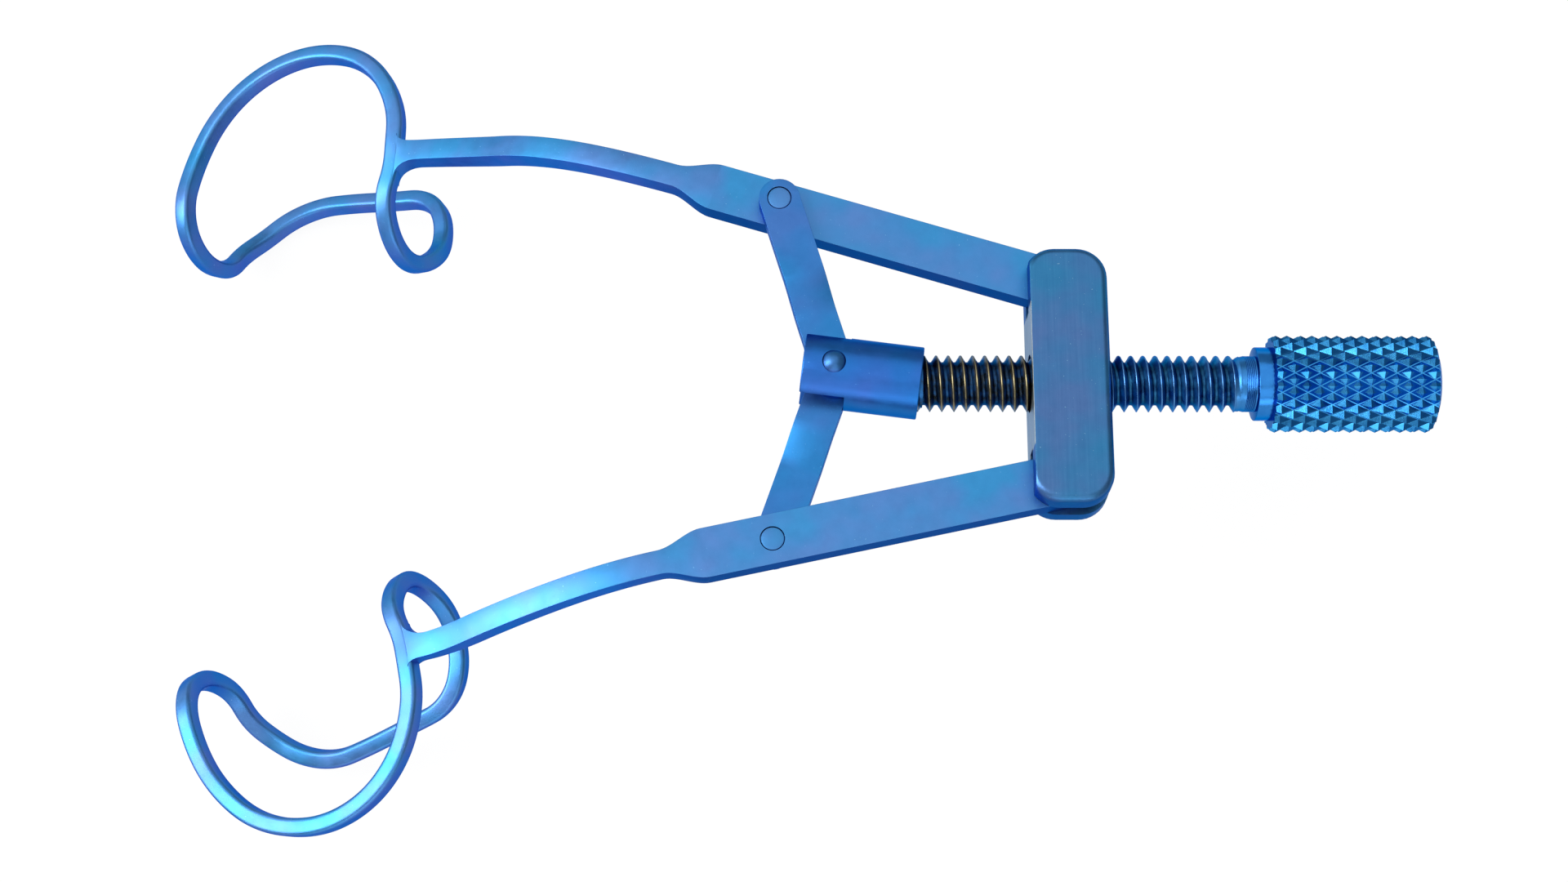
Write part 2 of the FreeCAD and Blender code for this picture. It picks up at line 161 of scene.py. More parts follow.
class SpeculumSizes(bpy.types.PropertyGroup):
    bar_width: length("Bar width", "Width of the arms' flat bars", 3.1)
    bar_thickness: length("Bar thickness", "Thickness of the arms' flat bars", 1.4)
    shank_width: length("Shank width", "Width of the slender part of the arms", 1.48)
    foot_thickness: length("Foot thickness", "Thickness of the arm where the wire is brazed on", 1.15)
    edge_radius: length("Edge radius", "Softening along the edges of the bars", 0.18)
    wire_width: length("Wire width", "Width across the flats of the blade wire", 1.17)
    wire_corner: length("Wire corner", "Corner radius of the blade wire", 0.3)
    link_width: length("Link width", "Width of the two links", 2.55)
    link_thickness: length("Link thickness", "Thickness of the two links", 1.1)
    yoke_corner: length("Yoke corner", "Upright corner radius of the yoke", 1.9)
    yoke_rim: length("Yoke rim", "Radius round the yoke's top and bottom", 0.5)
    barrel_diameter: length("Barrel diameter", "Outside diameter of the sleeve", 4.5)
    thread_diameter: length("Thread diameter", "Outside diameter of the screw", 3.5)
    thread_pitch: length("Thread pitch", "Travel of the screw for one turn", 0.75)
    thread_depth: length("Thread depth", "Depth of the screw's thread", 0.42)
    knob_diameter: length("Knob diameter", "Outside diameter over the knurl", 6.0)
    knurl_depth: length("Knurl depth", "Height of the knurl's points over its grooves", 0.34)
    knurl_rise: length("Knurl row spacing", "Length of one diamond along the knob", 1.55)
    knurl_rows: bpy.props.IntProperty(name="Knurl rows", description="Diamonds around the knob",
                                      default=21, min=8, max=60)


class SpeculumFinish(bpy.types.PropertyGroup):
    satin_blue: colour("Satin blue", "Anodised blue of the arms and blades", 0.064, 0.235, 0.52)
    brushed_blue: colour("Brushed blue", "Anodised blue of the yoke", 0.052, 0.168, 0.36)
    link_blue: colour("Link blue", "Anodised blue of the links", 0.041, 0.18, 0.47)
    sleeve_blue: colour("Sleeve blue", "Anodised blue of the sleeve", 0.03, 0.14, 0.47)
    thread_blue: colour("Thread blue", "Deep blue of the thread's flanks", 0.015, 0.075, 0.27)
    crest_bronze: colour("Crest bronze", "Worn bronze of the thread's crests", 0.26, 0.22, 0.12)
    knurl_blue: colour("Knurl blue", "Blue of the knob's points", 0.034, 0.27, 0.62)
    bare_grey: colour("Bare grey", "Bare metal of the yoke's front face", 0.42, 0.46, 0.43)
    floor_white: colour("Floor", "Colour of the floor and backdrop", 0.97, 0.97, 0.97)
    satin_roughness: bpy.props.FloatProperty(
        name="Satin roughness", description="Roughness of the blasted surfaces", default=0.42, min=0.0,
        max=1.0, subtype="FACTOR")


# ---------------- mesh helpers

def add_object(name, data):
    item = bpy.data.objects.new(name, data)
    bpy.context.scene.collection.objects.link(item)
    return item


def mesh_object(name, shape):
    mesh = bpy.data.meshes.new(name)
    shape.to_mesh(mesh)
    shape.free()
    return add_object(name, mesh)


def weld(shape, distance):
    bmesh.ops.remove_doubles(shape, verts=shape.verts, dist=distance)


def face_outward(shape):
    bmesh.ops.recalc_face_normals(shape, faces=shape.faces)


def finish_piece(shape, name, node, body, finish, sharp=34.0):
    """Makes the piece that stands for one node from a shape in millimetres."""
    face_outward(shape)
    shape.transform(Matrix.Scale(MM, 4))
    for face in shape.faces:
        face.smooth = True
    for edge in shape.edges:
        edge.smooth = edge.is_manifold and edge.calc_face_angle() < math.radians(sharp)
    piece = mesh_object(name, shape)
    shading = piece.modifiers.new("even_shading", "WEIGHTED_NORMAL")
    shading.keep_sharp = True
    piece.data.materials.append(finish_named(finish))
    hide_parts(node)
    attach(piece, body)
    return piece


def carve(shape, cutters):
    """Cuts closed shapes out of another and returns what is left."""
    block = mesh_object("block", shape)
    tools = []
    for cutter in cutters:
        face_outward(cutter)
        tool = mesh_object("tool", cutter)
        cut = block.modifiers.new("cut", "BOOLEAN")
        cut.operation = "DIFFERENCE"
        cut.solver = "EXACT"
        cut.object = tool
        tools.append(tool)
    depsgraph = bpy.context.evaluated_depsgraph_get()
    result = bmesh.new()
    result.from_object(block, depsgraph)
    for spent in tools + [block]:
        mesh = spent.data
        bpy.data.objects.remove(spent)
        bpy.data.meshes.remove(mesh)
    weld(result, 0.0005)
    return result


def bevel(shape, edges, width, segments):
    bmesh.ops.bevel(shape, geom=edges, offset=width, offset_type="OFFSET", segments=segments, profile=0.5,
                    affect="EDGES", material=-1, clamp_overlap=True)


def only(items, kind):
    return [item for item in items if isinstance(item, kind)]


def edges_over(shape, degrees):
    limit = math.radians(degrees)
    return [edge for edge in shape.edges if edge.is_manifold and edge.calc_face_angle() > limit]


def plane_cut(shape, place, normal, **cleared):
    """Cuts along a plane and clears the side that is asked for."""
    bmesh.ops.bisect_plane(shape, geom=shape.verts[:] + shape.edges[:] + shape.faces[:], dist=0.0001,
                           plane_co=place, plane_no=normal, **cleared)


def close_holes(shape):
    bmesh.ops.holes_fill(shape, edges=[edge for edge in shape.edges if edge.is_boundary], sides=0)


def round_end(half):
    """Stations of a bar's round end, up to where its full width starts."""
    return [-half * math.cos(math.pi / 2.0 * step / 10.0) for step in range(11)]


def strip(stations, place, depth):
    """A bar two faces wide with a row at each station, set by place and then given its depth."""
    count = len(stations) - 1
    shape = bmesh.new()
    bmesh.ops.create_grid(shape, x_segments=count, y_segments=2, size=1.0)
    for vertex in shape.verts:
        station = stations[round((vertex.co.x + 1.0) / 2.0 * count)]
        vertex.co = place(station, round(vertex.co.y))
    weld(shape, 0.0005)
    grown = bmesh.ops.extrude_face_region(shape, geom=shape.faces[:])["geom"]
    bmesh.ops.translate(shape, vec=(0.0, 0.0, depth), verts=only(grown, bmesh.types.BMVert))
    face_outward(shape)
    return shape


def rod(radius, start, end, segments=64):
    """A plain round bar between two points, for cutting."""
    shape = bmesh.new()
    start, end = Vector(start), Vector(end)
    along = (end - start).to_track_quat("Z", "Y").to_matrix().to_4x4()
    place = Matrix.Translation((start + end) / 2.0) @ along
    bmesh.ops.create_cone(shape, cap_ends=True, segments=segments, radius1=radius, radius2=radius,
                          depth=(end - start).length, matrix=place)
    return shape


def drill(radius, along, low, high, across=0.0):
    """An upright rod for cutting."""
    return rod(radius, (along, across, low), (along, across, high))


def box(low, high):
    shape = bmesh.new()
    low, high = Vector(low), Vector(high)
    bmesh.ops.create_cube(shape, size=1.0)
    bmesh.ops.scale(shape, vec=high - low, verts=shape.verts)
    bmesh.ops.translate(shape, vec=(low + high) / 2.0, verts=shape.verts)
    return shape


def turned(shape, profile, steps=96):
    """Adds a turned solid about the X axis from pairs of place and radius, pole to pole."""
    points = [shape.verts.new((along, radius, 0.0)) for along, radius in profile]
    lines = [shape.edges.new(pair) for pair in zip(points, points[1:])]
    bmesh.ops.spin(shape, geom=points + lines, cent=(0, 0, 0), axis=(1, 0, 0), angle=2.0 * math.pi,
                   steps=steps, use_merge=True)
    weld(shape, 0.0005)


def softened(profile, radius, segments=3):
    """Rounds the corners of a turned profile, all but its two ends on the axis."""
    result = [profile[0]]
    for before, corner, after in zip(profile, profile[1:], profile[2:]):
        here = Vector(corner)
        back, ahead = Vector(before) - here, Vector(after) - here
        reach = min(radius, back.length * 0.45, ahead.length * 0.45)
        first, last = here + back.normalized() * reach, here + ahead.normalized() * reach
        for step in range(segments + 1):
            share = step / segments
            curve = first.lerp(here, share).lerp(here.lerp(last, share), share)
            result.append((curve.x, curve.y))
    result.append(profile[-1])
    return result


# ---------------- finishes

def new_material(name):
    material = bpy.data.materials.new(name)
    material.use_nodes = True
    return material, material.node_tree


def metal_tree(name):
    """A new all-metal material whose grazing reflections stay blue."""
    tree = new_material(name)[1]
    shader = tree.nodes["Principled BSDF"]
    shader.inputs["Metallic"].default_value = 1.0
    shader.inputs["Specular Tint"].default_value = (0.3, 0.5, 0.9, 1.0)
    return tree, shader


def set_inputs(tree, node, inputs):
    """Links a node's inputs or sets them to constants."""
    for name, value in inputs.items():
        socket = node.inputs[name]
        if isinstance(value, bpy.types.NodeSocket):
            tree.links.new(value, socket)
        elif socket.type == "RGBA":
            socket.default_value = (*value, 1.0)
        else:
            socket.default_value = value
    return node


def add_node(tree, kind, inputs, **settings):
    node = tree.nodes.new("ShaderNode" + kind)
    for name, value in settings.items():
        setattr(node, name, value)
    return set_inputs(tree, node, inputs)


def noise(tree, scale, detail=3.0, roughness=0.55, offset=(0.0, 0.0, 0.0)):
    """Noise in the piece's own frame, its scale one number or one for each axis."""
    place = tree.nodes.new("ShaderNodeTexCoord").outputs["Object"]
    scale = (scale, scale, scale) if isinstance(scale, float) else scale
    mapped = add_node(tree, "Mapping", {"Scale": scale, "Location": offset, "Vector": place})
    return add_node(tree, "TexNoise", {"Scale": 1.0, "Detail": detail, "Roughness": roughness,
                                       "Vector": mapped.outputs["Vector"]}).outputs["Fac"]


def ramp(tree, source, stops):
    node = add_node(tree, "ValToRGB", {"Fac": source})
    points = node.color_ramp.elements
    while len(points) < len(stops):
        points.new(0.5)
    for point, (place, shade) in zip(points, stops):
        point.position = place
        point.color = (*shade, 1.0)
    return node.outputs["Color"]


def blend_colours(tree, factor, first, second, mode="MIX"):
    factor_input, first_input, second_input = 0, 6, 7
    return add_node(tree, "Mix", {factor_input: factor, first_input: first, second_input: second},
                    data_type="RGBA", blend_type=mode).outputs[2]


def arithmetic(tree, operation, *values):
    return add_node(tree, "Math", dict(enumerate(values)), operation=operation).outputs[0]


def span(tree, value, low, high, start=0.0, end=1.0):
    return add_node(tree, "MapRange", {"Value": value, "From Min": low, "From Max": high, "To Min": start,
                                       "To Max": end}, clamp=True).outputs["Result"]


def coordinate(tree, letter, kind="Object"):
    """One part of a point's place or, with the kind Normal, of the way the surface faces there."""
    place = tree.nodes.new("ShaderNodeTexCoord").outputs[kind]
    return add_node(tree, "SeparateXYZ", {"Vector": place}).outputs[letter]


def walls(tree, upright, level):
    """Full on upright walls and nothing on level faces, by the height of the normal; it places the painted
    wall shade.
    """
    height = arithmetic(tree, "ABSOLUTE", coordinate(tree, "Z", "Normal"))
    return span(tree, height, upright, level, 1.0, 0.0)


def axis_radius(tree, node):
    """Distance from the line along X through a node's middle."""
    upright = arithmetic(tree, "SUBTRACT", coordinate(tree, "Z"), middle_of(node).z * MM)
    squares = [arithmetic(tree, "MULTIPLY", part, part) for part in (coordinate(tree, "Y"), upright)]
    return arithmetic(tree, "SQRT", arithmetic(tree, "ADD", *squares))


def relief(tree, shader, *layers):
    """Stacks fine bumps, each given as a height and its depth in metres."""
    below = {}
    for height, depth in layers:
        bump = add_node(tree, "Bump", {"Distance": depth, "Height": height, **below})
        below = {"Normal": bump.outputs["Normal"]}
    set_inputs(tree, shader, below)


def tint(base, red, green, blue):
    return (min(1.0, base[0] * red), min(1.0, base[1] * green), min(1.0, base[2] * blue))


def blued_metal(name, base, roughness, grain, grain_depth, painted_wall_shade=(0.85, 0.62, 1.0)):
    """Anodised titanium: patches, fine grain and pale flecks, and painted shade that makes the upright walls a
    deeper, darker blue.
    """
    tree, shader = metal_tree(name)
    patches = ramp(tree, noise(tree, 260.0, 2.0, 0.5), (
        (0.34, tint(base, 1.4, 0.94, 0.98)), (0.5, base), (0.66, tint(base, 0.7, 1.1, 1.02))))
    cloud = noise(tree, 1100.0, 4.0, 0.6, (3.0, 1.0, 2.0))
    clouds = ramp(tree, cloud, ((0.3, (0.86, 0.87, 0.9)), (0.7, (1.0, 1.0, 1.0))))
    shaded = blend_colours(tree, 1.0, patches, clouds, "MULTIPLY")
    flecks = span(tree, noise(tree, 9000.0, 1.0, 0.5, (7.0, 2.0, 5.0)), 0.765, 0.8)
    shaded = blend_colours(tree, flecks, shaded, tint(base, 3.2, 2.0, 1.35))
    # Painted shade: the upright walls are darkened to a deeper blue by the way they face.
    shaded = blend_colours(tree, walls(tree, 0.3, 0.8), shaded, painted_wall_shade, "MULTIPLY")
    gloss = span(tree, cloud, 0.3, 0.7, roughness - 0.05, roughness + 0.06)
    set_inputs(tree, shader, {"Base Color": shaded, "Roughness": gloss})
    relief(tree, shader, (noise(tree, grain, 2.0, 0.6, (1.0, 4.0, 9.0)), grain_depth))
    return tree, shader, shaded


def satin_metal(finish):
    """The blasted arms and blades, with painted shade darkening the walls along the straight bars."""
    tree, shader, shaded = blued_metal("satin_titanium", tuple(finish.satin_blue), finish.satin_roughness,
                                       15000.0, 5e-6)
    # Painted shade: the upright walls of the straight bars near the pivot are darkened further.
    bar = span(tree, coordinate(tree, "X"), -28.0 * MM, -22.0 * MM)
    bar_wall_shade = arithmetic(tree, "MULTIPLY", walls(tree, 0.2, 0.6), bar)
    shaded = blend_colours(tree, bar_wall_shade, shaded, (0.4, 0.5, 0.5), "MULTIPLY")
    set_inputs(tree, shader, {"Base Color": shaded})


# Its wall tint is painted shade on the upright walls.
def brushed_metal(base, name, grain, painted_wall_shade=(0.7, 0.62, 0.8)):
    return blued_metal(name, tuple(base), 0.38, grain, 3.5e-6, painted_wall_shade)


def yoke_metal(finish):
    """Brushed along the yoke, with a bare grey front between the arms."""
    tree, shader, shaded = brushed_metal(finish.brushed_blue, "yoke_titanium", (22000.0, 900.0, 22000.0))
    streaks = noise(tree, (5200.0, 160.0, 5200.0), 3.0, 0.65, (2.0, 0.0, 1.0))
    marks = ramp(tree, streaks, ((0.3, (0.9, 0.92, 0.94)), (0.55, (1.0, 1.0, 1.0)),
                                 (0.72, (1.12, 1.06, 1.03))))
    shaded = blend_colours(tree, 1.0, shaded, marks, "MULTIPLY")
    skin, half_bare = 0.03, 4.6
    front = arithmetic(tree, "LESS_THAN", coordinate(tree, "X"), (node_box("yoke")[0].x + skin) * MM)
    across = arithmetic(tree, "ABSOLUTE", coordinate(tree, "Y"))
    bare = arithmetic(tree, "MULTIPLY", front, arithmetic(tree, "LESS_THAN", across, half_bare * MM))
    grey = tuple(finish.bare_grey)
    scratches = noise(tree, (9000.0, 700.0, 9000.0), 4.0, 0.7)
    metal = ramp(tree, scratches, ((0.3, tint(grey, 0.7, 0.7, 0.7)), (0.65, grey)))
    set_inputs(tree, shader, {"Base Color": blend_colours(tree, bare, shaded, metal)})


def thread_metal(finish):
    """Deep blue flanks and bronze crests, darker on the sleeve's side of the yoke; towards the knob a painted
    highlight on paler flanks and crests, painted shade in the roots and a neck painted paler.
    """
    tree, shader = metal_tree("thread_titanium")
    radius = axis_radius(tree, "screw")
    crest = span(tree, radius, 1.52 * MM, 1.72 * MM)
    root = span(tree, radius, 1.36 * MM, 1.5 * MM, 1.0, 0.0)
    # Towards the sleeve the flanks are darker and the crests bronze.
    sleeve_side = span(tree, coordinate(tree, "X"), -1.0 * MM, 2.0 * MM, 1.0, 0.0)
    patch = noise(tree, 1600.0, 4.0, 0.65)
    blue = tuple(finish.thread_blue)
    # Painted highlight: towards the knob the flanks are painted a paler teal, up to three times brighter.
    painted_highlight_flanks = ramp(tree, patch, ((0.35, tint(blue, 0.6, 0.8, 0.7)), (0.68, tint(blue, 2.4, 3.0, 1.7))))
    dark = ramp(tree, patch, ((0.4, (0.03, 0.035, 0.028)), (0.6, tint(blue, 1.5, 1.5, 1.1))))
    body = blend_colours(tree, sleeve_side, painted_highlight_flanks, dark)
    # The crests are bronze towards the sleeve and a painted highlight, pale teal, towards the knob.
    edge = blend_colours(tree, sleeve_side, tint(blue, 5.0, 3.0, 1.8), tuple(finish.crest_bronze))
    body = blend_colours(tree, crest, body, edge)
    # Painted shade darkens the thread's roots.
    body = blend_colours(tree, arithmetic(tree, "MULTIPLY", root, 0.55), body, (0.006, 0.01, 0.02))
    # Painted light: the neck is painted paler against the shade it sits in beside the knob.
    neck = span(tree, coordinate(tree, "X"), (THREAD_END - 0.5) * MM, THREAD_END * MM)
    body = blend_colours(tree, neck, body, tint(blue, 2.6, 2.6, 1.8))
    set_inputs(tree, shader, {"Base Color": body, "Roughness": span(tree, patch, 0.3, 0.7, 0.24, 0.42)})
    relief(tree, shader, (noise(tree, 14000.0, 3.0, 0.6), 6e-6))


def knurl_metal(finish):
    """Polished points, paler groove bottoms and a hub with fine turning marks, with painted shade on the
    facets turned away from the yoke and on the faces turned towards it.
    """
    tree, shader = metal_tree("knurl_titanium")
    groove = span(tree, axis_radius(tree, "knob"), 2.68 * MM, 2.73 * MM, 1.0, 0.0)
    patch = noise(tree, 700.0, 4.0, 0.6)
    blue = tuple(finish.knurl_blue)
    body = ramp(tree, patch, ((0.32, tint(blue, 0.75, 0.8, 0.9)), (0.7, tint(blue, 1.7, 1.35, 1.2))))
    body = blend_colours(tree, arithmetic(tree, "MULTIPLY", groove, 0.3), body, tint(blue, 2.6, 1.7, 1.3))
    knurl_from = node_box("knob")[0].x + KNURL_START + 0.02
    points = arithmetic(tree, "GREATER_THAN", coordinate(tree, "X"), knurl_from * MM)
    # Painted shade: facets facing away from the yoke, and faces turned towards it, are darkened.
    painted_shade_back_facets = span(tree, coordinate(tree, "X", "Normal"), -0.12, 0.12)
    painted_shade_yoke_faces = span(tree, coordinate(tree, "X", "Normal"), -0.9, -0.6, 1.0, 0.0)
    for part, shade in ((arithmetic(tree, "MULTIPLY", painted_shade_back_facets, points), (0.32, 0.46, 0.6)),
                        (arithmetic(tree, "SUBTRACT", 1.0, points), (0.55, 0.58, 0.8)),
                        (painted_shade_yoke_faces, (0.35, 0.35, 0.4))):
        body = blend_colours(tree, part, body, shade, "MULTIPLY")
    set_inputs(tree, shader, {"Base Color": body, "Roughness": span(tree, patch, 0.3, 0.7, 0.15, 0.27)})
    turning = noise(tree, (16000.0, 150.0, 150.0), 3.0, 0.6)
    relief(tree, shader, (turning, 4e-6), (noise(tree, 12000.0, 2.0, 0.5), 4e-6))


def make_finishes(finish):
    satin_metal(finish)
    yoke_metal(finish)
    brushed_metal(finish.link_blue, "link_titanium", 12000.0)
    # The sleeve's wall tint is painted shade and a painted greenish reflection on its sides.
    brushed_metal(finish.sleeve_blue, "sleeve_titanium", (900.0, 16000.0, 16000.0), (0.8, 1.1, 1.0))
    thread_metal(finish)
    knurl_metal(finish)
    blued_metal("pin_titanium", tint(finish.brushed_blue, 1.0, 0.95, 1.1), 0.42, 9000.0, 4e-6)


def finish_named(name):
    """A finish by its name; all are made when the first is asked for."""
    if name + "_titanium" not in bpy.data.materials:
        make_finishes(bpy.context.scene.speculum_finish)
    return bpy.data.materials[name + "_titanium"]


# ---------------- arms and blades

def droop_at(reach):
    """Height and slope of the arm's middle at one reach from its pivot."""
    first_end = DROOP_START + DROOP_RADIUS * math.sin(DROOP_SLOPE)
    if reach <= DROOP_START:
        return 0.0, 0.0
    if reach <= first_end:
        slope = math.asin((reach - DROOP_START) / DROOP_RADIUS)
        return -DROOP_RADIUS * (1.0 - math.cos(slope)), slope
    slope = math.asin(math.sin(DROOP_SLOPE) - (reach - first_end) / TIP_RADIUS)
    drop = DROOP_RADIUS * (1.0 - math.cos(DROOP_SLOPE))
    return -drop - TIP_RADIUS * (math.cos(slope) - math.cos(DROOP_SLOPE)), slope


def bow_at(reach):
    if reach > BOW_PEAK:
        past = reach - BOW_PEAK
        return SHANK_BOW - BOW_RETURN_RADIUS + math.sqrt(BOW_RETURN_RADIUS ** 2 - past ** 2)
    share = max(0.0, (reach - SHOULDER_END) / (BOW_PEAK - SHOULDER_END))
    return SHANK_BOW * math.sin(math.pi / 2.0 * share) ** 2


def arm_place(which):
    """From an arm's own frame about its pivot to the rest pose."""
    side = SIDES[which]
    pivot = joint_place(which + "_arm_swing")
    rivet = joint_place(which + "_link_swing")
    turn = math.atan2(side * (rivet.y - pivot.y), pivot.x - rivet.x)
    mirrored = Matrix.Diagonal((1.0, side, 1.0, 1.0))
    return Matrix.Translation(pivot) @ Matrix.Rotation(-side * turn, 4, "Z") @ mirrored


def half_width(sizes, reach, tip, side):
    """Half the arm's width at one station: side is 1 for its outer edge, -1 for its inner one."""
    half = sizes.bar_width / MM / 2.0
    neck = sizes.shank_width / MM / 2.0
    if reach < 0.0:
        return math.sqrt(max(0.0, half ** 2 - reach ** 2))
    if reach < SHOULDER_START:
        return half
    if reach < SHOULDER_END:
        share = (reach - SHOULDER_START) / (SHOULDER_END - SHOULDER_START)
        return half + (neck - half) * share * share * (3.0 - 2.0 * share)
    run, flare = (FOOT_RUN * 0.95, 1.15) if side < 0 else (0.75, 0.45)
    share = max(0.0, (reach - tip + run) / run)
    return neck + flare * (1.0 - math.sqrt(max(0.0, 1.0 - share ** 2)))


def arm_stations(sizes, tip):
    """Stations from the pivot's round end to the tip, closer where the outline turns."""
    shank = tip - FOOT_RUN - SHOULDER_END
    stations = round_end(sizes.bar_width / MM / 2.0) + [6.0, 12.0, 17.0, 20.5]
    stations += [SHOULDER_START + (SHOULDER_END - SHOULDER_START) * step / 14.0 for step in range(15)]
    stations += [SHOULDER_END + shank * step / 40.0 for step in range(1, 41)]
    return stations + [tip - FOOT_RUN * (1.0 - step / 16.0) ** 1.5 for step in range(1, 17)]


def make_arm(sizes, which):
    """One flat bar: its outline from a strip, drilled while flat, then bent to its droop."""
    tip = ARM_TIPS[which] - FOOT_SINK
    thickness = sizes.bar_thickness / MM
    top = thickness / 2.0
    shape = strip(arm_stations(sizes, tip)[::-1],
                  lambda reach, across: (-reach, across * half_width(sizes, reach, tip, across), top),
                  -thickness)
    bevel(shape, [edge for edge in edges_over(shape, 60.0)
                  if any(abs(vertex.co.x + tip) > 0.01 for vertex in edge.verts)], sizes.edge_radius / MM, 3)
    rivet = -LINK_RIVET_REACH
    seat = top - RIVET_HEAD_DEPTH
    recess = (-top - CLEAR, -seat) if which == "upper" else (seat, top + CLEAR)
    shape = carve(shape, [
        drill(PIVOT_BORE, 0.0, -thickness, thickness),
        drill(RIVET_SHAFT, rivet, -thickness, thickness),
        drill(RIVET_POCKET, rivet, *recess),
    ])
    taper_start = DROOP_START + DROOP_RADIUS * math.sin(DROOP_SLOPE)
    foot = sizes.foot_thickness / sizes.bar_thickness
    wire = loop_headings(loop_places(which))[0]
    wire_lean = wire / wire.y - Vector((0.0, 1.0, 0.0))
    for vertex in shape.verts:
        reach, across = -vertex.co.x, vertex.co.y
        height, slope = droop_at(reach)
        share = clamped((reach - taper_start) / (tip - taper_start))
        lift = vertex.co.z * (1.0 + (foot - 1.0) * share)
        ease = clamped((reach - tip + FOOT_RUN) / FOOT_RUN)
        vertex.co = Vector((-reach - lift * math.sin(slope), across + bow_at(reach),
                            height + lift * math.cos(slope))) + wire_lean * across * ease * ease
    shape.transform(arm_place(which))
    return shape


def loop_places(which):
    """The blade's points in the arm's frame, with its hand setting about the braze."""
    reach = ARM_TIPS[which]
    turn, lift = BLADE_SET[which]
    root = Vector((-reach, bow_at(reach), droop_at(reach)[0]))
    tilt = Matrix.Rotation(math.radians(-turn), 3, "Z") @ Matrix.Rotation(math.radians(lift), 3, "X")
    return [root + tilt @ Vector((-out, side, height)) for out, side, height in LOOP_POINTS]


def loop_headings(points):
    """The wire's direction at each point, from the spans on both sides of it."""
    headings = []
    for before, point, after in zip(points[-1:] + points[:-1], points, points[1:] + points[:1]):
        back, ahead = point - before, after - point
        ratio = ahead.length / back.length
        headings.append((back * ratio + ahead / ratio).normalized())
    return headings


def arc_between(start, heading, end):
    """Centre, axis, turn and radius of the arc that leaves start along heading and meets end."""
    chord = end - start
    along = chord.normalized()
    inward = (along - heading * along.dot(heading)).normalized()
    half_turn = math.acos(max(-1.0, min(1.0, along.dot(heading))))
    radius = chord.length / (2.0 * math.sin(half_turn))
    return start + inward * radius, heading.cross(inward), 2.0 * half_turn, radius


def loop_arcs(points):
    """Two arcs on each span of the loop, tangent to each other and at the points."""
    headings = loop_headings(points)
    ends, arrivals = points[1:] + points[:1], headings[1:] + headings[:1]
    arcs = []
    for start, end, leave, arrive in zip(points, ends, headings, arrivals):
        chord = end - start
        mixed = chord.dot(leave + arrive)
        spread = 2.0 * (1.0 - leave.dot(arrive))
        reach = (math.sqrt(mixed ** 2 + spread * chord.length_squared) - mixed) / spread
        first, second = start + leave * reach, end - arrive * reach
        joint = (first + second) / 2.0
        arcs.append(arc_between(start, leave, joint))
        arcs.append(arc_between(joint, (second - first).normalized(), end))
    return arcs


def make_blade(sizes, which):
    """The squarish wire carried along the loop's arcs, its twist shared out over the turns."""
    points = loop_places(which)
    arcs = loop_arcs(points)
    heading = loop_headings(points)[0]
    slope = droop_at(ARM_TIPS[which])[1]
    top = Vector((-math.sin(slope), 0.0, math.cos(slope)))
    top = (top - heading * top.dot(heading)).normalized()
    carried = top.copy()
    for centre, axis, turn, radius in arcs:
        carried.rotate(Quaternion(axis, turn))
    twist = math.atan2(heading.dot(top.cross(carried)), top.dot(carried))
    quarter = math.pi / 2.0
    step_length = 0.3
    steps = [max(3, round(turn * radius / step_length)) for centre, axis, turn, radius in arcs]
    correction = (round(twist / quarter) * quarter - twist) / sum(steps)
    shape = bmesh.new()
    width = sizes.wire_width / MM
    bmesh.ops.create_circle(shape, cap_ends=True, segments=4, radius=width / math.sqrt(2.0))
    bmesh.ops.rotate(shape, cent=(0, 0, 0), matrix=Matrix.Rotation(math.pi / 4.0, 3, "Z"), verts=shape.verts)
    bmesh.ops.bevel(shape, geom=shape.verts[:], offset=sizes.wire_corner / MM, offset_type="OFFSET",
                    segments=5, profile=0.5, affect="VERTICES", material=-1)
    bmesh.ops.delete(shape, geom=shape.faces[:], context="FACES_ONLY")
    right = top.cross(heading)
    place = Matrix((right, top, heading)).transposed().to_4x4()
    place.translation = points[0]
    shape.transform(place)
    ring = shape.verts[:] + shape.edges[:]
    middle, pointing = points[0].copy(), heading.copy()
    for (centre, axis, turn, radius), count in zip(arcs, steps):
        part = Quaternion(axis, turn / count)
        for step in range(count):
            ring = bmesh.ops.spin(shape, geom=ring, cent=centre, axis=axis, angle=turn / count,
                                  steps=1)["geom_last"]
            middle = centre + part @ (middle - centre)
            pointing = part @ pointing
            bmesh.ops.rotate(shape, cent=middle, matrix=Matrix.Rotation(correction, 3, pointing),
                             verts=only(ring, bmesh.types.BMVert))
    weld(shape, 0.01)
    shape.transform(arm_place(which))
    return shape


# ---------------- yoke and linkage

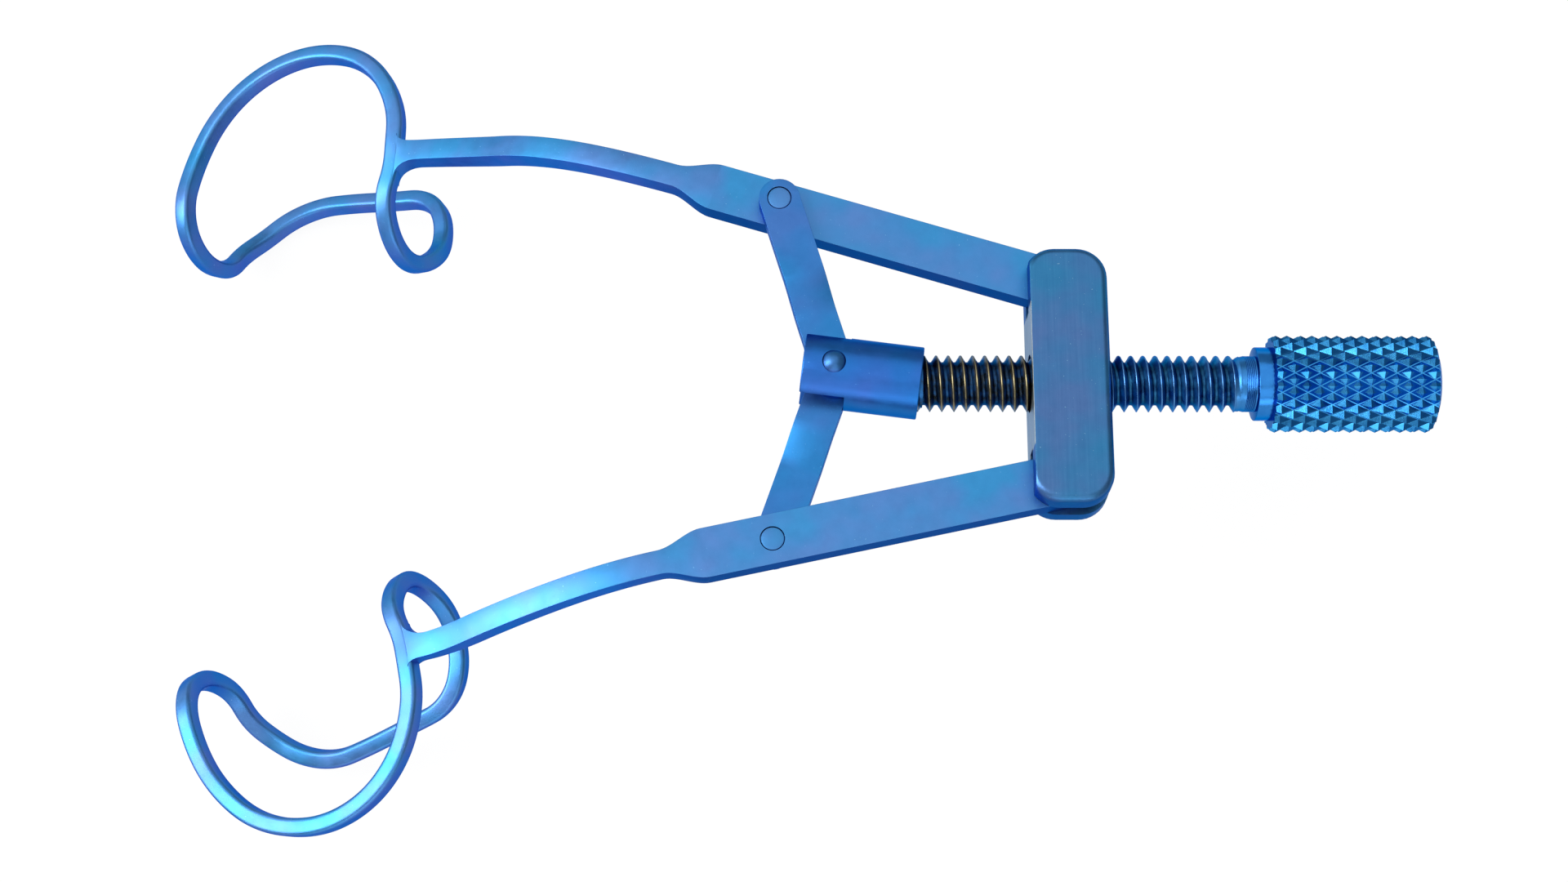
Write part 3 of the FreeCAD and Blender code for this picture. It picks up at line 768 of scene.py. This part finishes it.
def make_yoke(sizes):
    """Rounded block, cut flat at the front, slotted for the arms and bored for the screw."""
    low, high = node_box("yoke")
    middle = (low.z + high.z) / 2.0
    trim, front_edge = 0.35, 0.05
    screw_bore, slot_from, half_slot, pin_bore, pin_cover = 1.79, 4.4, 0.75, 0.8, 0.9
    shape = box((low.x - trim, low.y, low.z), high)
    uprights = [edge for edge in shape.edges if abs((edge.verts[0].co - edge.verts[1].co).z) > 1.0]
    bevel(shape, uprights, sizes.yoke_corner / MM, 10)
    bevel(shape, edges_over(shape, 60.0), sizes.yoke_rim / MM, 5)
    plane_cut(shape, (low.x, 0.0, 0.0), (1.0, 0.0, 0.0), clear_inner=True)
    close_holes(shape)
    face_outward(shape)
    front = [edge for edge in edges_over(shape, 35.0) if abs(edge.verts[0].co.x - low.x) < 0.001]
    bevel(shape, front, front_edge, 2)
    tools = [rod(screw_bore, (low.x - CLEAR, 0.0, middle), (high.x + CLEAR, 0.0, middle), 96)]
    for which, side in SIDES.items():
        pivot = joint_place(which + "_arm_swing")
        near, far = sorted((side * slot_from, side * (high.y + CLEAR)))
        tools.append(box((low.x - CLEAR, near, middle - half_slot), (high.x + CLEAR, far, middle + half_slot)))
        tools.append(drill(pin_bore, 0.0, -CLEAR, middle + half_slot + pin_cover, pivot.y))
    return carve(shape, tools)


def link_height(along):
    """Drop of the link from the arm's face to the middle plane, straight between two soft bends."""
    start, run = LINK_CRANK
    bend, play = 0.3, 0.015
    share = clamped((along - start) / run)
    if share < bend:
        rise = share * share / (2.0 * bend)
    elif share > 1.0 - bend:
        rise = 1.0 - bend - (1.0 - share) ** 2 / (2.0 * bend)
    else:
        rise = share - bend / 2.0
    return -(LINK_LIFT - play) * rise / (1.0 - bend)


def make_link(sizes, which):
    """Flat bar with round ends, drilled and slotted, cranked down towards the sleeve."""
    half = sizes.link_width / MM / 2.0
    thickness = sizes.link_thickness / MM
    far = LINK_CENTRES + LINK_STOCK
    start, run = LINK_CRANK
    stations = round_end(half) + [2.0, 4.0, start]
    stations += [start + run * step / 10.0 for step in range(1, 11)]
    stations += [9.0, far] + [far - place for place in reversed(round_end(half)[:-1])]

    def place(along, across):
        beyond = max(0.0, -along, along - far)
        return along, across * math.sqrt(max(0.0, half ** 2 - beyond ** 2)), LINK_LIFT

    shape = strip(stations, place, thickness)
    bevel(shape, edges_over(shape, 60.0), sizes.edge_radius / MM * 0.8, 3)
    top = LINK_LIFT + thickness
    rivet_bore, pocket_depth, pin_bore, pin_play, past = 0.615, 0.28, 0.79, 0.27, top + CLEAR
    shape = carve(shape, [
        drill(rivet_bore, 0.0, 0.0, past),
        drill(RIVET_POCKET, 0.0, top - pocket_depth, past),
        drill(pin_bore, LINK_CENTRES - pin_play, 0.0, past),
        drill(pin_bore, LINK_CENTRES + pin_play, 0.0, past),
    ])
    for vertex in shape.verts:
        vertex.co.z += link_height(vertex.co.x)
    rivet, pin = joint_place(which + "_link_swing"), middle_of("sleeve_pin")
    heading = math.atan2(pin.y - rivet.y, pin.x - rivet.x)
    shape.transform(Matrix.Translation(rivet) @ Matrix.Rotation(heading, 4, "Z")
                    @ Matrix.Diagonal((1.0, 1.0, SIDES[which], 1.0)))
    return shape


def upright_pin(node, head):
    """A turned pin along Z with a head at each end, from pairs of depth below its end and radius."""
    low, high = node_box(node)
    profile = [(low.z + depth, radius) for depth, radius in head]
    profile += [(high.z - depth, radius) for depth, radius in reversed(head)]
    shape = bmesh.new()
    turned(shape, profile, 48)
    middle = middle_of(node)
    shape.transform(Matrix.Translation((middle.x, middle.y, 0.0)) @ Matrix.Rotation(-math.pi / 2.0, 4, "Y"))
    return shape


def make_rivet(which):
    """A flush rivet with a softened flat head at each end."""
    head = [(0.0, 0.0), (0.002, 0.55), (0.03, 0.69), (0.08, RIVET_HEAD), (RIVET_HEAD_DEPTH, RIVET_HEAD),
            (RIVET_HEAD_DEPTH, RIVET_SHAFT)]
    return upright_pin(which + "_link_rivet", head)


def sleeve_rock():
    """The sleeve's small turn about the screw's end, which its pin's place gives."""
    return math.asin(middle_of("sleeve_pin").y / PIN_SETBACK)


def make_sleeve(sizes):
    """Slotted barrel with softened rims, bored for the screw's tip and spot-faced for its pin."""
    radius = sizes.barrel_diameter / MM / 2.0
    slot_depth, slot_height = SLEEVE_SLOT
    mouth, mouth_end, bore, bore_end, rim = 1.867, -0.6, 1.33, -3.4, 0.09
    profile = [(-SLEEVE_LENGTH, 0.0), (-SLEEVE_LENGTH, radius), (0.0, radius), (0.0, mouth),
               (mouth_end, mouth), (mouth_end, bore), (bore_end, bore), (bore_end, 0.0)]
    shape = bmesh.new()
    turned(shape, softened(profile, rim), 128)
    face_outward(shape)
    seat = math.sqrt(radius ** 2 - PIN_HEAD ** 2)
    pocket, half_slot, past, through = 1.72, slot_height / 2.0, 4.0, 3.0
    shape = carve(shape, [
        box((-SLEEVE_LENGTH - CLEAR, -past, -half_slot), (slot_depth - SLEEVE_LENGTH, past, half_slot)),
        drill(pocket, -PIN_SETBACK, -half_slot, half_slot),
        drill(PIN_HEAD, -PIN_SETBACK, seat, past),
        drill(PIN_HEAD, -PIN_SETBACK, -past, -seat),
        drill(PIN_SHAFT, -PIN_SETBACK, -through, through),
    ])
    middle = joint_place("screw_spin").z
    shape.transform(Matrix.Translation((SLEEVE_REAR, 0.0, middle)) @ Matrix.Rotation(-sleeve_rock(), 4, "Z"))
    return shape


def make_sleeve_pin():
    """A cross pin with a low domed head standing on the barrel at each end."""
    ball = (PIN_HEAD ** 2 + PIN_DOME_RISE ** 2) / (2.0 * PIN_DOME_RISE)
    radii = [PIN_HEAD * math.sin(math.pi / 2.0 * step / 8.0) for step in range(9)]
    dome = [(ball - math.sqrt(ball ** 2 - radius ** 2), radius) for radius in radii]
    return upright_pin("sleeve_pin", dome + [(dome[-1][0], PIN_SHAFT)])


# ---------------- screw and knob

def make_screw(sizes):
    """A right-hand V thread spun along the axis, with its run-out, neck and turned tip."""
    low, high = node_box("screw")
    pitch = sizes.thread_pitch / MM
    crest = sizes.thread_diameter / MM / 2.0
    root = crest - sizes.thread_depth / MM
    flank = (crest - root) * math.tan(math.radians(30.0))
    floor = (pitch - 2.0 * flank) * 0.75
    start = SLEEVE_REAR - 0.3
    fillet, side_round, crest_round = 0.02, 0.06, 0.015
    profile = [(0.0, root + fillet), (floor * 0.25, root), (floor * 0.75, root), (floor, root + fillet),
               (floor + flank * 0.9, crest - side_round), (floor + flank * 0.98, crest - crest_round),
               ((floor + pitch) / 2.0, crest), (pitch - flank * 0.98, crest - crest_round),
               (pitch - flank * 0.9, crest - side_round), (pitch, root + fillet)]
    shape = bmesh.new()
    points = [shape.verts.new((start - pitch + along, radius, 0.0)) for along, radius in profile]
    lines = [shape.edges.new(pair) for pair in zip(points, points[1:])]
    per_turn = 40
    turns = math.ceil((THREAD_END - start) / pitch) + 2
    bmesh.ops.spin(shape, geom=points + lines, cent=(0, 0, 0), axis=(1, 0, 0), dvec=(pitch / per_turn, 0, 0),
                   angle=2.0 * math.pi * turns, steps=per_turn * turns)
    weld(shape, 0.002)
    for place, outward in ((start, -1.0), (THREAD_END, 1.0)):
        plane_cut(shape, (place, 0.0, 0.0), (outward, 0.0, 0.0), clear_outer=True)
    fade, fade_run = 0.55, 0.5
    for vertex in shape.verts:
        share = clamped((vertex.co.x - THREAD_END + fade) / fade_run)
        radius = math.hypot(vertex.co.y, vertex.co.z)
        wanted = max(radius, root + (crest - 0.05 - root) * share)
        vertex.co.y *= wanted / radius
        vertex.co.z *= wanted / radius
    close_holes(shape)
    place, ridge, groove, groove_pitch, stub = THREAD_END + 0.3, crest - 0.02, crest - 0.045, 0.08, 1.3
    neck = [(THREAD_END - 0.1, 0.0), (THREAD_END - 0.1, crest - 0.12), (place, ridge)]
    while place < NECK_END - groove_pitch:
        neck += [(place + 0.03, groove), (place + 0.06, ridge)]
        place += groove_pitch
    turned(shape, neck + [(NECK_END, ridge), (NECK_END, stub), (high.x, stub), (high.x, 0.0)])
    flared, pivot, plug = low.x + 0.3, 0.9, 1.5
    turned(shape, [(low.x, 0.0), (low.x, 1.1), (flared, 1.15), (flared, pivot), (start - 0.1, pivot),
                   (start - 0.1, plug), (start + 0.4, plug), (start + 0.4, 0.0)])
    shape.transform(Matrix.Translation((0.0, 0.0, middle_of("screw").z)))
    return shape


def make_knob(sizes):
    """Diamond knurl: a lattice turned on its point, inset, raised to points and rolled up."""
    low, high = node_box("knob")
    radius = sizes.knob_diameter / MM / 2.0
    depth = sizes.knurl_depth / MM
    base = radius - depth
    rise = sizes.knurl_rise / MM
    left, right = low.x + KNURL_START, high.x - 0.5
    half_long = (right - left) / 2.0
    half_round = math.pi * base
    width = 2.0 * half_round / sizes.knurl_rows
    cells = math.ceil(2.0 * half_long / rise) + sizes.knurl_rows + 2
    shape = bmesh.new()
    bmesh.ops.create_grid(shape, x_segments=cells, y_segments=cells, size=cells / 2.0)
    for vertex in shape.verts:
        along, around = vertex.co.x - vertex.co.y, vertex.co.x + vertex.co.y
        vertex.co = Vector((along * rise / 2.0, around * width / 2.0, 0.0))
    spare = [face for face in shape.faces
             if abs(face.calc_center_median().x) >= half_long + rise
             or abs(face.calc_center_median().y) >= half_round + 2.0 * width]
    bmesh.ops.delete(shape, geom=spare, context="FACES")
    diamonds = shape.faces[:]
    bmesh.ops.inset_individual(shape, faces=diamonds, thickness=0.03, depth=0.0, use_even_offset=True)
    bmesh.ops.poke(shape, faces=diamonds, offset=depth)
    for place, normal in (((-half_long, 0, 0), (-1, 0, 0)), ((half_long, 0, 0), (1, 0, 0)),
                          ((0, -half_round, 0), (0, -1, 0)), ((0, half_round, 0), (0, 1, 0))):
        plane_cut(shape, place, normal, clear_outer=True)
    for place in (0.3 - half_long, half_long - 0.35, 0.12 - half_long, half_long - 0.15):
        plane_cut(shape, (place, 0, 0), (1, 0, 0))
    end_drop, left_ease, right_ease = 0.3, 0.24, 0.2
    for vertex in shape.verts:
        angle = vertex.co.y / base
        along = vertex.co.x + (left + right) / 2.0
        near = min(along - left + left_ease, (right - along) * 0.8 + right_ease)
        height = min(base + max(0.0, vertex.co.z), radius - end_drop + min(end_drop, near))
        vertex.co = Vector((along, height * math.cos(angle), height * math.sin(angle)))
    weld(shape, 0.003)
    end_faces = ((left, ((left, 2.4), (left, 1.35))),
                 (right, ((high.x - 0.25, 2.1), (high.x - 0.06, 1.1), (high.x, 0.4))))
    for place, stages in end_faces:
        rim = [edge for edge in shape.edges
               if edge.is_boundary and all(abs(vertex.co.x - place) < 0.01 for vertex in edge.verts)]
        for along, ring in stages:
            rim = only(bmesh.ops.extrude_edge_only(shape, edges=rim)["geom"], bmesh.types.BMEdge)
            for vertex in {corner for edge in rim for corner in edge.verts}:
                scale = ring / math.hypot(vertex.co.y, vertex.co.z)
                vertex.co = Vector((along, vertex.co.y * scale, vertex.co.z * scale))
        bmesh.ops.holes_fill(shape, edges=rim, sides=0)
    hub_end = left + 0.2
    turned(shape, softened([(low.x, 0.0), (low.x, HUB_RADIUS), (hub_end, HUB_RADIUS), (hub_end, 0.0)], 0.07))
    shape.transform(Matrix.Translation((0.0, 0.0, middle_of("knob").z)))
    return shape


# ---------------- operators

class SPECULUM_OT_yoke(bpy.types.Operator):
    """Makes the rounded cross block that carries the arms and the screw"""
    bl_idname = "speculum.yoke"
    bl_label = "Yoke"

    def execute(self, context):
        finish_piece(make_yoke(context.scene.speculum_sizes), "yoke_block", "yoke", "yoke",
                     "yoke")
        return {"FINISHED"}


class SPECULUM_OT_arms(bpy.types.Operator):
    """Makes both arms: flat bars that neck down and droop to the blades"""
    bl_idname = "speculum.arms"
    bl_label = "Arms"

    def execute(self, context):
        for which in SIDES:
            arm = which + "_arm"
            finish_piece(make_arm(context.scene.speculum_sizes, which), arm + "_bar", arm, arm,
                         "satin")
        return {"FINISHED"}


class SPECULUM_OT_blades(bpy.types.Operator):
    """Makes both blades: closed loops of squarish wire"""
    bl_idname = "speculum.blades"
    bl_label = "Blades"

    def execute(self, context):
        for which in SIDES:
            finish_piece(make_blade(context.scene.speculum_sizes, which), which + "_blade_wire",
                         which + "_blade", which + "_arm", "satin", 50.0)
        return {"FINISHED"}


class SPECULUM_OT_links(bpy.types.Operator):
    """Makes the two cranked links and the rivets that carry them"""
    bl_idname = "speculum.links"
    bl_label = "Links and rivets"

    def execute(self, context):
        for which in SIDES:
            link = which + "_link"
            finish_piece(make_link(context.scene.speculum_sizes, which), link + "_bar", link, link,
                         "link")
            finish_piece(make_rivet(which), which + "_rivet", link + "_rivet", which + "_arm",
                         "satin")
        return {"FINISHED"}


class SPECULUM_OT_sleeve(bpy.types.Operator):
    """Makes the slotted barrel and its domed cross pin"""
    bl_idname = "speculum.sleeve"
    bl_label = "Sleeve and pin"

    def execute(self, context):
        finish_piece(make_sleeve(context.scene.speculum_sizes), "sleeve_barrel", "sleeve", "sleeve",
                     "sleeve")
        finish_piece(make_sleeve_pin(), "sleeve_cross_pin", "sleeve_pin", "sleeve", "pin")
        return {"FINISHED"}


class SPECULUM_OT_screw(bpy.types.Operator):
    """Makes the threaded screw with its neck and turned tip"""
    bl_idname = "speculum.screw"
    bl_label = "Screw"

    def execute(self, context):
        finish_piece(make_screw(context.scene.speculum_sizes), "screw_thread", "screw", "screw",
                     "thread", 40.0)
        return {"FINISHED"}


class SPECULUM_OT_knob(bpy.types.Operator):
    """Makes the knurled thumb knob and its hub"""
    bl_idname = "speculum.knob"
    bl_label = "Knob"

    def execute(self, context):
        finish_piece(make_knob(context.scene.speculum_sizes), "knob_knurl", "knob", "screw",
                     "knurl", 20.0)
        return {"FINISHED"}


class SPECULUM_OT_hidden_pins(bpy.types.Operator):
    """Gives the pivot pins and the tip washer their finish"""
    bl_idname = "speculum.hidden_pins"
    bl_label = "Pivot pins and washer"

    def execute(self, context):
        for node in ("upper_arm_pivot_pin", "lower_arm_pivot_pin", "tip_washer"):
            piece = frame["nodes"][node]
            piece.data.materials.clear()
            piece.data.materials.append(finish_named("pin"))
        return {"FINISHED"}


# Each soft box: its direction from the object, distance, width, height and brightness
LAMPS = (
    ("key", (-0.84, -0.06, 0.56), 0.7, 0.4, 0.76, 6.6),
    ("rear_fill", (-0.7, 0.56, 0.42), 0.75, 0.45, 0.5, 1.2),
    ("low_front", (0.0, -0.97, 0.24), 0.75, 0.9, 0.26, 2.2),
    ("overhead", (0.05, 0.2, 0.97), 0.8, 0.8, 1.2, 0.86),
    ("front", (0.1, -0.72, 0.69), 0.75, 0.6, 0.4, 1.1),
)


def lamp(name, direction, distance, width, height, radiance, aim):
    """A soft box with a given brightness, turned to face the object."""
    data = bpy.data.lights.new(name, "AREA")
    data.shape = "RECTANGLE"
    data.size = width
    data.size_y = height
    data.energy = radiance * math.pi * width * height
    heading = Vector(direction).normalized()
    turn = heading.to_track_quat("Z", "Y").to_matrix().to_4x4()
    add_object(name, data).matrix_world = Matrix.Translation(aim + heading * distance) @ turn


class SPECULUM_OT_stage(bpy.types.Operator):
    """Makes the floor, the soft studio lights, the backdrop and the camera"""
    bl_idname = "speculum.stage"
    bl_label = "Stage, lights and camera"

    def execute(self, context):
        scene = context.scene
        aim = Vector((-17.54, -3.73, 2.3)) * MM
        shape = bmesh.new()
        bmesh.ops.create_grid(shape, x_segments=1, y_segments=1, size=1.5)
        bmesh.ops.translate(shape, vec=(aim.x, aim.y, FLOOR_Z), verts=shape.verts)
        floor = mesh_object("floor", shape)
        material, tree = new_material("floor_paper")
        tree.nodes.remove(tree.nodes["Principled BSDF"])
        plain = add_node(tree, "BsdfDiffuse", {"Color": tuple(scene.speculum_finish.floor_white)})
        glow = add_node(tree, "Emission", {"Color": (1.0, 1.0, 1.0)})
        seen = add_node(tree, "LightPath", {}).outputs
        bounced = arithmetic(tree, "ADD", seen["Is Glossy Ray"], seen["Is Transmission Ray"])
        direct = arithmetic(tree, "ADD", seen["Is Camera Ray"], bounced)
        share = arithmetic(tree, "MINIMUM", arithmetic(tree, "MULTIPLY", direct, FLOOR_GLOW), FLOOR_GLOW)
        mix = add_node(tree, "MixShader", {0: share, 1: plain.outputs["BSDF"], 2: glow.outputs["Emission"]})
        set_inputs(tree, tree.nodes["Material Output"], {"Surface": mix.outputs["Shader"]})
        floor.data.materials.append(material)

        for name, direction, distance, width, height, radiance in LAMPS:
            lamp(name, direction, distance, width, height, radiance, aim)

        world = bpy.data.worlds.new("backdrop")
        world.use_nodes = True
        scene.world = world
        tree = world.node_tree
        ground = set_inputs(tree, tree.nodes["Background"], {"Color": (0.93, 0.96, 1.0), "Strength": 0.4})
        paper = add_node(tree, "Background", {"Color": (1.0, 1.0, 1.0)})
        mix = add_node(tree, "MixShader", {0: add_node(tree, "LightPath", {}).outputs["Is Camera Ray"],
                                           1: ground.outputs["Background"], 2: paper.outputs["Background"]})
        set_inputs(tree, tree.nodes["World Output"], {"Surface": mix.outputs["Shader"]})

        tilt, pan, distance = math.radians(18.03), math.radians(0.243), 158.45 * MM
        right = Vector((math.cos(pan), 0.0, math.sin(pan)))
        up = Vector((-math.sin(tilt) * math.sin(pan), math.cos(tilt), math.sin(tilt) * math.cos(pan)))
        back = right.cross(up)
        place = Matrix((right, up, back)).transposed().to_4x4()
        place.translation = aim + back * distance
        data = bpy.data.cameras.new("camera")
        data.sensor_width = 36.0
        data.lens = 59.42
        data.clip_start = 0.005
        data.clip_end = 10.0
        camera = add_object("camera", data)
        camera.matrix_world = place
        scene.camera = camera
        scene.view_settings.view_transform = "Standard"
        return {"FINISHED"}


PIECES = (SPECULUM_OT_yoke, SPECULUM_OT_arms, SPECULUM_OT_blades, SPECULUM_OT_links, SPECULUM_OT_sleeve,
          SPECULUM_OT_screw, SPECULUM_OT_knob, SPECULUM_OT_hidden_pins, SPECULUM_OT_stage)


class SPECULUM_PT_panel(bpy.types.Panel):
    """Lists the speculum's pieces, sizes and finishes"""
    bl_idname = "SPECULUM_PT_panel"
    bl_label = "Wire Eye Speculum"
    bl_space_type = "VIEW_3D"
    bl_region_type = "UI"
    bl_category = "Speculum"

    def draw(self, context):
        column = self.layout.column(align=True)
        for piece in PIECES:
            column.operator(piece.bl_idname)
        for group in (context.scene.speculum_sizes, context.scene.speculum_finish):
            settings = self.layout.column()
            for name in group.__annotations__:
                settings.prop(group, name)


CLASSES = (SpeculumSizes, SpeculumFinish) + PIECES + (SPECULUM_PT_panel,)


def register():
    for item in CLASSES:
        bpy.utils.register_class(item)
    bpy.types.Scene.speculum_sizes = bpy.props.PointerProperty(type=SpeculumSizes)
    bpy.types.Scene.speculum_finish = bpy.props.PointerProperty(type=SpeculumFinish)


def unregister():
    del bpy.types.Scene.speculum_finish
    del bpy.types.Scene.speculum_sizes
    for item in reversed(CLASSES):
        bpy.utils.unregister_class(item)


def main():
    register()
    bpy.ops.speculum.yoke()
    bpy.ops.speculum.arms()
    bpy.ops.speculum.blades()
    bpy.ops.speculum.links()
    bpy.ops.speculum.sleeve()
    bpy.ops.speculum.screw()
    bpy.ops.speculum.knob()
    bpy.ops.speculum.hidden_pins()
    bpy.ops.speculum.stage()


if __name__ == "__main__":
    main()
